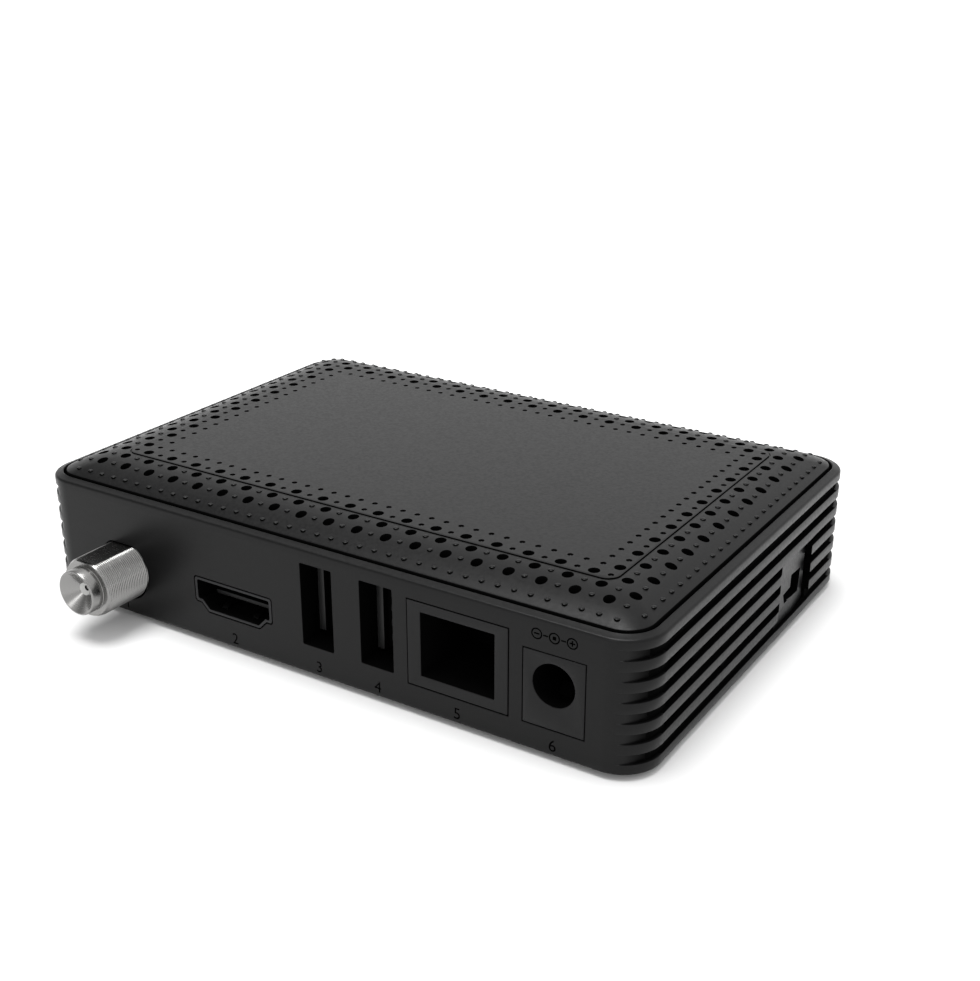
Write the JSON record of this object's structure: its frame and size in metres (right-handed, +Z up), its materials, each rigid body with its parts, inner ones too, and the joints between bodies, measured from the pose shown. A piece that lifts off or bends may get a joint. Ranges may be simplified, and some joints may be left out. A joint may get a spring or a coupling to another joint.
{
  "type": "satellite tv receiver",
  "caption": "Small flat plastic receiver box with a perforated pillow-shaped cover, grooved and vented end walls and a wall of sockets.",
  "frame": {"origin": "on the surface the feet stand on, under the middle of the whole outline with the aerial connector", "axes": "+Z up; +Y out of the wall with the sockets; +X along the width, to the left when the socket wall is seen from outside"},
  "size_m": [0.1072, 0.0842, 0.0233],
  "materials": {
    "case_plastic": "finely textured black-grey ABS, satin",
    "rubber": "matt",
    "screw_steel": "zinc plated",
    "board_laminate": "green solder mask, satin",
    "nickel": "bright nickel plate",
    "tin_plate": "tin plate, satin",
    "socket_plastic": "satin black nylon",
    "tongue_plastic": "satin light grey nylon",
    "white_plastic": "satin white insulator",
    "gold_contact": "gold flash on brass",
    "chip_package": "moulded epoxy",
    "thermal_pad": "soft silicone",
    "aluminium": "extruded",
    "capacitor_can": "sleeved",
    "ferrite": "pressed ferrite",
    "smoked_acrylic": "smoked, glossy",
    "display_face": "black filled face",
    "lamp_resin": "clear red resin"
  },
  "bodies": {
    "root": {"lower_housing": "case_plastic", "top_cover": "case_plastic", "rubber_feet": "rubber", "case_screws": "screw_steel", "main_board": "board_laminate", "board_screws": "screw_steel", "aerial_body": "nickel", "aerial_insulator": "white_plastic", "aerial_contact": "gold_contact", "tuner_frame": "tin_plate", "tuner_cover": "tin_plate", "hdmi_shell": "nickel", "hdmi_tongue": "tongue_plastic", "hdmi_contacts": "gold_contact", "usb1_shell": "nickel", "usb1_tongue": "tongue_plastic", "usb1_contacts": "gold_contact", "usb2_shell": "nickel", "usb2_tongue": "tongue_plastic", "usb2_contacts": "gold_contact", "lan_housing": "socket_plastic", "lan_contacts": "gold_contact", "power_housing": "socket_plastic", "power_pin": "nickel", "power_leaf": "nickel", "side_housing": "socket_plastic", "side_contacts": "gold_contact", "processor": "chip_package", "thermal_pad": "thermal_pad", "heat_sink": "aluminium", "memory_chips": "chip_package", "flash_chip": "chip_package", "regulator": "chip_package", "lan_transformer": "chip_package", "capacitors": "capacitor_can", "inductors": "ferrite", "crystal": "tin_plate", "front_window": "smoked_acrylic", "display_board": "board_laminate", "display_block": "display_face", "remote_receiver": "chip_package", "status_lamp": "lamp_resin"}
  },
  "joints": []
}
